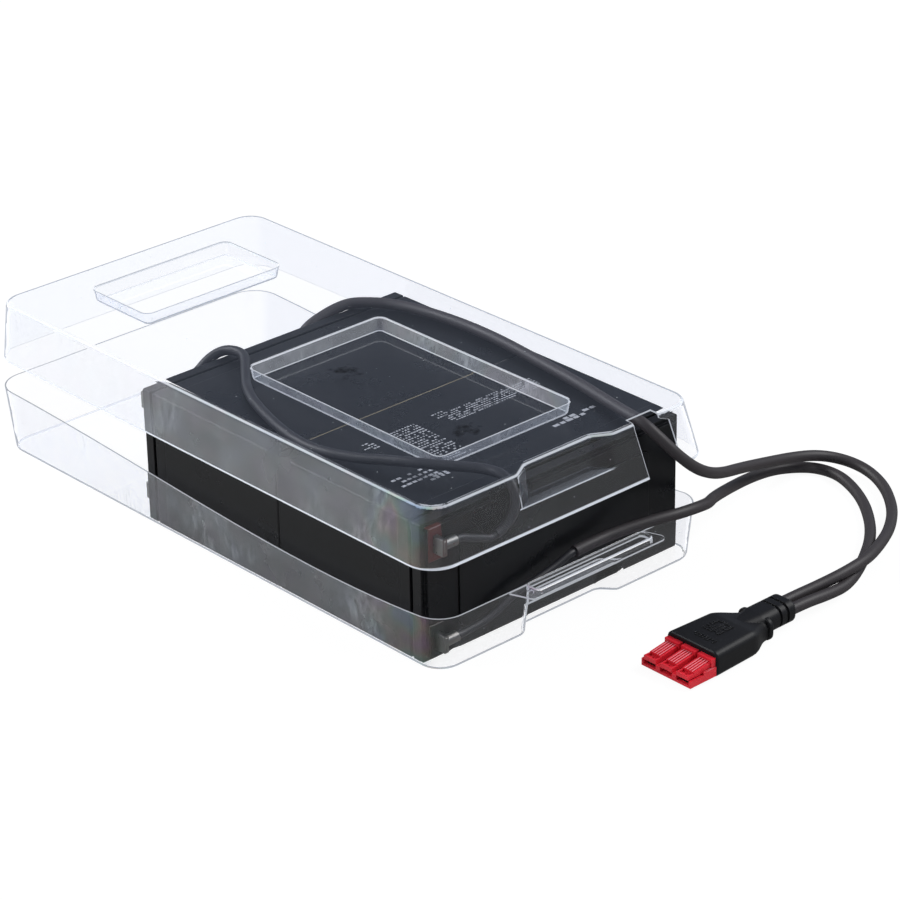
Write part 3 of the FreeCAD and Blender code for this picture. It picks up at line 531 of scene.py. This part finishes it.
# Tinned brass: soft silver with blurred highlights.
tinned_brass = bare_metal("tinned_brass", "9a9893", 0.3)
seal_finishes = {"positive": (red_resin, "seal_red"), "negative": (black_resin, "seal_black")}
for end in ("front", "rear"):
    for pole, (material, slot) in seal_finishes.items():
        dressed(f"{end}_{pole}_seal", material)
        dressed(f"{end}_{pole}_tab", tinned_brass)
        dressed(f"{end}_{pole}_receptacle", tinned_brass)


# Series link and inner wires.
# Single black PVC wires are crimped into the receptacles; one links the two blocks over their top.
# Limp extruded PVC, satin, with no seam.

# Extruded PVC: black with a soft sheen along its length.
wire_pvc = moulded_plastic("black_pvc_wire", "26262a", 0.42, 0.9, 0.02)
for end in ("front", "rear"):
    for pole in ("positive", "negative"):
        dressed(f"{end}_{pole}_core", wire_pvc)

lid_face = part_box("front_battery_lid")[0].y
battery_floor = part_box("front_battery_container")[0].z


def laid(points):
    """Points across from the middle, back from the front lid and up from under the batteries, in metres."""
    return [(x * mm, lid_face + y * mm, battery_floor + z * mm) for x, y, z in points]


def lay_tube(name, route, diameter, material):
    """A round wire whose line is one smooth spline over its route points."""
    line = bpy.data.curves.new(name, "CURVE")
    line.dimensions = "3D"
    line.resolution_u = 10
    line.bevel_depth = diameter / 2
    line.bevel_resolution = 6
    line.use_fill_caps = True
    spline = line.splines.new("NURBS")
    spline.points.add(len(route) - 1)
    for point, place in zip(spline.points, route):
        point.co = (*place, 1.0)
    spline.order_u = 3
    spline.use_endpoint_u = True
    line.materials.append(material)
    piece = bpy.data.objects.new(name, line)
    scene.collection.objects.link(piece)
    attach(piece, "root")
    return piece


link_diameter = 4.6 * mm
link_route = laid([
    (-49.0, 192.3, 55.8), (-41.0, 192.6, 57.6), (-33.6, 191.6, 64.0), (-26.8, 187.4, 67.9),
    (-24.8, 176.0, 68.6), (-35.0, 163.3, 68.4), (-49.5, 144.8, 67.8), (-58.4, 121.0, 67.8),
    (-64.4, 98.0, 67.8), (-65.2, 79.0, 67.8), (-58.6, 60.5, 68.4), (-52.6, 48.8, 69.8),
    (-47.4, 37.0, 71.0), (-41.7, 27.9, 71.1), (-34.6, 20.2, 70.6), (-28.6, 13.2, 70.0),
    (-26.0, 3.8, 69.8), (-25.8, -3.2, 64.8), (-28.6, -4.6, 57.0), (-33.0, -4.6, 52.0), (-39.4, -4.6, 50.2),
])
link = lay_tube("series_link_wire", link_route, link_diameter, wire_pvc)
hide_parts("series_link")


# Leads.
# Two sleeved black leads run from the end terminals to the plug: one over the batteries and out of the
# cover's slot, the other along the front. Soft rubbery PVC, matt, that lies in loose curves.

# Soft PVC: charcoal rather than black, and nearly matt.
lead_sleeve = moulded_plastic("black_soft_pvc_sleeve", "353133", 0.5, 1.1, 0.03)
lead_diameter = 5.2 * mm
lead_spacing = 6.8 * mm
lead_straight = 8.0 * mm
lead_insert = 8.0 * mm
neck_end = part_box("plug_overmould")[1].x
plug_axis = (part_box("plug_overmould")[0].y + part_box("plug_overmould")[1].y) / 2
neck_lift = 6.6 * mm


def into_plug(side):
    """The straight end of a lead, in its bore of the plug's neck."""
    y = plug_axis + side * lead_spacing / 2
    return [(neck_end + lead_straight, y, neck_lift), (neck_end - lead_insert, y, neck_lift)]


positive_route = laid([
    (-46.0, 192.6, 10.8), (-33.0, 192.9, 14.0), (-17.0, 193.0, 21.6), (-1.0, 193.0, 32.4),
    (12.0, 192.8, 45.0), (19.6, 192.4, 55.6), (25.6, 191.9, 60.8), (32.2, 191.4, 63.2),
    (40.4, 189.9, 65.8), (47.4, 186.6, 67.8), (53.4, 180.0, 68.2),
    (59.4, 173.0, 68.0), (65.2, 157.0, 67.9), (68.5, 133.0, 67.9), (68.3, 106.0, 67.9), (65.0, 77.0, 67.9),
    (61.4, 47.0, 67.9), (56.6, 23.0, 68.2), (52.8, 8.2, 69.4), (53.0, -0.6, 68.6), (56.0, -7.6, 62.6),
    (61.2, -13.2, 54.8), (70.0, -15.4, 46.2), (83.4, -11.6, 37.8), (100.0, -3.8, 29.4), (118.6, 2.4, 23.2),
    (140.6, 7.8, 16.2), (160.4, 9.8, 11.2), (173.6, 7.6, 8.6), (182.0, 2.4, 6.4), (186.6, -5.6, 4.6),
    (187.0, -15.4, 3.2), (182.8, -26.6, 2.2), (175.0, -37.4, 2.0), (165.0, -47.8, 2.0), (150.0, -58.8, 3.4),
    (133.0, -68.4, 6.2), (115.0, -76.4, 8.4), (98.0, -77.6, 8.0), (83.0, -75.6, 6.4),
]) + into_plug(1)
negative_route = laid([
    (5.5, -6.0, 25.8), (20.0, -6.2, 26.4), (33.4, -9.4, 27.8), (46.4, -13.4, 28.8), (59.0, -16.8, 28.8),
    (70.4, -16.6, 27.6), (82.4, -12.0, 23.8), (94.0, -3.0, 18.6), (114.6, 6.6, 12.6), (137.4, 14.8, 7.0),
    (156.0, 17.8, 3.4), (167.6, 14.4, 2.0), (174.6, 6.8, 2.0), (176.4, -4.8, 2.0), (171.4, -18.6, 2.0),
    (163.4, -32.0, 2.0), (153.6, -43.8, 2.0), (143.0, -54.0, 2.8), (130.6, -63.6, 4.0), (113.4, -73.8, 3.8),
    (97.6, -80.4, 3.4), (83.0, -81.8, 4.8),
]) + into_plug(-1)
positive_lead = lay_tube("positive_lead_sleeve", positive_route, lead_diameter, lead_sleeve)
negative_lead = lay_tube("negative_lead_sleeve", negative_route, lead_diameter, lead_sleeve)
for lead, node_name in ((positive_lead, "positive_lead"), (negative_lead, "negative_lead")):
    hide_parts(node_name)


# Plug.
# A black PVC grip is moulded over the lead ends and a red nylon housing with three poles.
# The grip is satin and the red housing a little glossier, with tinned copper contacts in its mouths.

# Moulded PVC: a satin black whose edges are slightly rounded.
grip_pvc = moulded_plastic("black_pvc_overmould", "141416", 0.42, 0.7, 0.02, 0.4, 0.3)

# Moulded nylon: signal red, with a light sheen.
housing_red = "d82533"
red_nylon = moulded_plastic("red_nylon", housing_red, 0.3, 0.6, 0.005, 0.6)

# Tinned copper, painted a dark brownish grey for the shade deep in the housing's mouths.
contact_painted_dark = bare_metal("tinned_copper_contact", "5c4a42", 0.35)
plug_finishes = {
    "plug_overmould": (grip_pvc, "plug_grip"),
    "plug_housing": (red_nylon, "plug_red"),
    "plug_contacts": (contact_painted_dark, "contact_copper"),
}
plug_pieces = []
for node_name, (material, slot) in plug_finishes.items():
    piece = dressed(node_name, material)
    plug_pieces.append(piece)

# Painted highlight: the crests of the housing's grip ridges, long narrow faces that look up, are painted pale
# pink.
crest_shortest = 3 * mm
crest_broadest = 0.6 * mm
housing = plug_pieces[1].data
crest = housing.attributes.new("crest", "FLOAT", "FACE")
for face in housing.polygons:
    corners = [housing.vertices[index].co for index in face.vertices]
    run, breadth = [max(c[axis] for c in corners) - min(c[axis] for c in corners) for axis in (0, 1)]
    narrow = run > crest_shortest and breadth < crest_broadest
    crest.data[face.index].value = float(narrow and face.normal.z > 0.8)
tree = red_nylon.node_tree
wear_and_highlight_mask = add_node(tree, "ShaderNodeAttribute", {}, attribute_name="crest").outputs["Fac"]
painted_crest_highlight = add_node(tree, "ShaderNodeMix", {
    0: wear_and_highlight_mask, 6: srgb(housing_red), 7: srgb("e77f88"),
}, data_type="RGBA").outputs[2]
tree.links.new(painted_crest_highlight, tree.nodes["Principled BSDF"].inputs["Base Color"])

# Raised bars stand on the grip's upper face.
bar_thickness = 0.6 * mm
grip_low, grip_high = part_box("plug_overmould")
plug_pieces.append(lay_dashes(
    "grip_bars", across=11, rows=5, pitch=0.95 * mm, row_pitch=2.0 * mm, height=1.7 * mm,
    thickness=bar_thickness, shortest=0.55, seed=5, material=grip_pvc,
    place=(grip_low.x + 17 * mm, plug_axis + 1 * mm, grip_high.z),
))
plug_pieces.append(lay_dashes(
    "grip_front_bars", across=2, rows=8, pitch=1.3 * mm, row_pitch=1.6 * mm, height=0.9 * mm,
    thickness=bar_thickness, shortest=0.6, seed=9, material=grip_pvc,
    place=(grip_low.x + 6.5 * mm, plug_axis - 1 * mm, grip_high.z),
))


# Upper cover.
# A deeper thermoformed cover of the same film lies over the batteries with its rim in the air.
# Two pockets are drawn into its top, and its front has a finger recess and a slot for the lead.

recess_depth = 15.8 * mm
cover_low, cover_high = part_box("upper_cover")
cover_rim = cover_low.z
cover_shelf = cover_high.z - recess_depth
pocket_soil = [(-4 * mm, -6 * mm, 69 * mm), (-6 * mm, -88 * mm, 69 * mm)]
cover_film = clear_film("clear_pvc_film_cover", "fafbfd", 1.0, 0.6, cover_rim, cover_shelf, pocket_soil)
cover = dressed("upper_cover", cover_film, shell_crease)


# Studio.
# A white floor and backdrop, a softbox at the rear left, a weaker one at the front right,
# and a camera with a long lens above the front left corner.

scene.view_settings.view_transform = "Standard"

floor_half = 8.0
floor_mesh = bpy.data.meshes.new("studio_floor")

# A hair under the tray, so that the film and the floor never share one plane.
floor_z = -0.05 * mm
floor_corners = [(-floor_half, -floor_half, floor_z), (floor_half, -floor_half, floor_z),
                 (floor_half, floor_half, floor_z), (-floor_half, floor_half, floor_z)]
floor_mesh.from_pydata(floor_corners, [], [(0, 1, 2, 3)])
floor = bpy.data.objects.new("studio_floor", floor_mesh)
scene.collection.objects.link(floor)

# White paper in view, which keeps the shadow; what mirrors in the object is a dim card, lighter at the left.
white_floor, floor_output = new_material("white_studio_floor")
tree = white_floor.node_tree
path = add_node(tree, "ShaderNodeLightPath", {})
in_view = add_node(tree, "ShaderNodeMath", {
    0: path.outputs["Is Camera Ray"], 1: path.outputs["Is Transmission Ray"],
}, operation="MAXIMUM").outputs[0]
reflected = add_node(tree, "ShaderNodeMath", {
    0: path.outputs["Glossy Depth"], 1: 0.5,
}, operation="GREATER_THAN").outputs[0]
seen = add_node(tree, "ShaderNodeMath", {0: in_view, 1: reflected}, operation="SUBTRACT", use_clamp=True)
lift = add_node(tree, "ShaderNodeMapRange", {
    "Value": path.outputs["Is Transmission Ray"], "To Min": 0.94, "To Max": 0.905,
}).outputs["Result"]
across = add_node(tree, "ShaderNodeSeparateXYZ", {
    "Vector": add_node(tree, "ShaderNodeTexCoord", {}).outputs["Object"],
}).outputs["X"]
mirrored = add_node(tree, "ShaderNodeMapRange", {
    "Value": across, "From Min": -0.16, "From Max": -0.07, "To Min": 0.4, "To Max": 0.2,
}, interpolation_type="SMOOTHSTEP")
card = add_node(tree, "ShaderNodeEmission", {"Strength": mirrored.outputs["Result"]})
paper = add_node(tree, "ShaderNodeBsdfDiffuse", {"Color": srgb("e8e8e8")})
faint = add_node(tree, "ShaderNodeBsdfDiffuse", {"Color": (0.08, 0.08, 0.08, 1.0)})
bright = add_node(tree, "ShaderNodeEmission", {"Color": (1.0, 1.0, 1.0, 1.0), "Strength": lift})
shadowed = add_node(tree, "ShaderNodeAddShader", {0: faint.outputs[0], 1: bright.outputs[0]})
bounced = add_node(tree, "ShaderNodeMixShader", {
    0: reflected, 1: paper.outputs[0], 2: card.outputs[0],
})
surface = add_node(tree, "ShaderNodeMixShader", {
    0: seen.outputs[0], 1: bounced.outputs[0], 2: shadowed.outputs[0],
})
tree.links.new(surface.outputs[0], floor_output.inputs["Surface"])
floor_mesh.materials.append(white_floor)

# White behind the object, an even fill for its light, and in mirrors a grey sweep that is brighter low down.
world = bpy.data.worlds.new("white_studio")
scene.world = world
world.use_nodes = True
tree = world.node_tree
tree.nodes.clear()
path = add_node(tree, "ShaderNodeLightPath", {})
direction = add_node(tree, "ShaderNodeTexCoord", {}).outputs["Generated"]
height = add_node(tree, "ShaderNodeSeparateXYZ", {"Vector": direction}).outputs["Z"]
sweep = add_node(tree, "ShaderNodeMapRange", {
    "Value": height, "From Min": 0.14, "From Max": 0.28, "To Min": 0.4, "To Max": 0.165,
}, interpolation_type="SMOOTHSTEP").outputs["Result"]
tone = add_node(tree, "ShaderNodeMix", {
    0: sweep, 6: srgb("c6d6f6"), 7: srgb("f2f4f9"),
}, data_type="RGBA").outputs[2]
sky = add_node(tree, "ShaderNodeBackground", {"Color": tone, "Strength": sweep})
fill = add_node(tree, "ShaderNodeBackground", {"Color": srgb("f2f5fb"), "Strength": 0.5})
white = add_node(tree, "ShaderNodeBackground", {"Color": (1.0, 1.0, 1.0, 1.0), "Strength": 1.0})
around = add_node(tree, "ShaderNodeMixShader", {
    0: path.outputs["Is Diffuse Ray"], 1: sky.outputs[0], 2: fill.outputs[0],
})
behind = add_node(tree, "ShaderNodeMixShader", {
    0: path.outputs["Is Camera Ray"], 1: around.outputs[0], 2: white.outputs[0],
})
add_node(tree, "ShaderNodeOutputWorld", {"Surface": behind.outputs[0]})


def soft_lamp(name, place, aim, length, width, power, glint):
    """A softbox at place that faces aim; its mirror images are dimmed to glint, and doubled ones left out."""
    lamp_data = bpy.data.lights.new(name, "AREA")
    lamp_data.shape = "RECTANGLE"
    lamp_data.size = length
    lamp_data.size_y = width
    lamp_data.energy = power
    lamp_data.use_nodes = True
    tree = lamp_data.node_tree
    tree.nodes.clear()
    path = add_node(tree, "ShaderNodeLightPath", {})
    first_glint = add_node(tree, "ShaderNodeMath", {
        0: path.outputs["Glossy Depth"], 1: 1.5,
    }, operation="LESS_THAN").outputs[0]
    softened = add_node(tree, "ShaderNodeMapRange", {
        "Value": path.outputs["Glossy Depth"], "From Min": 0.0, "From Max": 1.0,
        "To Min": 1.0, "To Max": glint,
    }).outputs["Result"]
    strength = add_node(tree, "ShaderNodeMath", {
        0: first_glint, 1: softened,
    }, operation="MULTIPLY").outputs[0]
    light = add_node(tree, "ShaderNodeEmission", {"Strength": strength})
    add_node(tree, "ShaderNodeOutputLight", {"Surface": light.outputs[0]})
    lamp = bpy.data.objects.new(name, lamp_data)
    lamp.visible_camera = False
    lamp.location = place
    lamp.rotation_euler = (Vector(aim) - Vector(place)).to_track_quat("-Z", "Y").to_euler()
    scene.collection.objects.link(lamp)
    return lamp


softbox_length = 1.2
softbox_width = 0.6
softbox_glint = 0.08
softboxes = {
    "rear_left_softbox": ((-0.78, 1.17, 1.1), 26.0),
    "front_right_softbox": ((1.08, -0.8, 1.25), 20.0),
}
for name, (place, power) in softboxes.items():
    soft_lamp(name, place, (0.0, 0.0, 0.0), softbox_length, softbox_width, power, softbox_glint)

# The camera stands where the photograph was taken from.
camera_data = bpy.data.cameras.new("photo_camera")
camera_data.sensor_width = 36.0
camera_data.lens = 137.04
camera_data.clip_end = 60.0
camera = bpy.data.objects.new("photo_camera", camera_data)
camera.location = (-0.899378, -1.069087, 0.715783)
camera.rotation_euler = (math.radians(63.692), math.radians(0.962), math.radians(-42.475))
scene.collection.objects.link(camera)
scene.camera = camera
